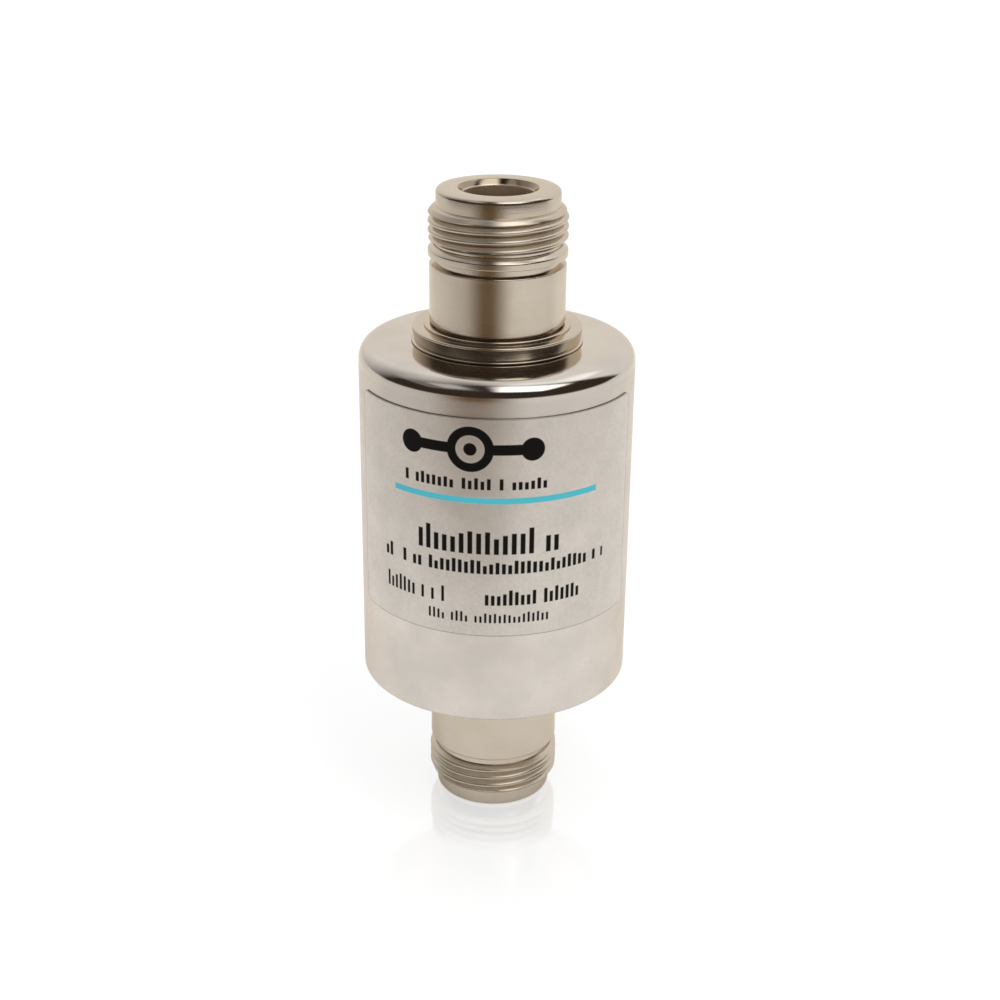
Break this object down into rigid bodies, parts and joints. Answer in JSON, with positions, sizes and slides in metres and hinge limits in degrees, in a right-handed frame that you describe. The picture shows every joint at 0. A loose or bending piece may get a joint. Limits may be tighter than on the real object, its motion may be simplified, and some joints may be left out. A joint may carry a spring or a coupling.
{
  "type": "coax lightning arrestor",
  "caption": "In-line coaxial surge arrestor: a round nickel-plated can with a threaded female jack at each end and a gas discharge tube from the line to ground inside.",
  "frame": {"origin": "centre of the lower jack's mating face, on the line's axis, at the foot of the part as it stands", "axes": "+Z along the line to the upper jack, -Y to the can's front with the label"},
  "size_m": [0.032, 0.0322, 0.0762],
  "materials": {
    "brushed_nickel": "nickel plate over fine turning, slightly brushed",
    "nickel": "nickel plate on turned brass, polished",
    "foil": "satin foil sticker with dark and teal print",
    "gold": "gold plate on turned beryllium copper",
    "silver": "silver plate, satin",
    "ptfe": "white turned fluoropolymer",
    "rubber": "black moulded rubber",
    "ceramic": "fine unglazed alumina",
    "steel": "bare spring steel",
    "brass": "plain turned brass"
  },
  "bodies": {
    "root": {"housing": "brushed_nickel", "upper_connector_shell": "nickel", "lower_connector_shell": "nickel", "upper_flange_seal": "rubber", "base_seal": "rubber", "upper_contact": "gold", "lower_contact": "gold", "upper_insulator": "ptfe", "lower_insulator": "ptfe", "upper_retaining_bush": "brass", "lower_retaining_bush": "brass", "core_block": "brass", "line_rod": "silver", "upper_rod_support": "ptfe", "lower_rod_support": "ptfe", "gas_tube_body": "ceramic", "gas_tube_line_electrode": "silver", "gas_tube_ground_electrode": "silver", "ground_spring": "steel", "ground_plug": "brass", "clamp_washer": "steel", "label": "foil"}
  },
  "joints": []
}
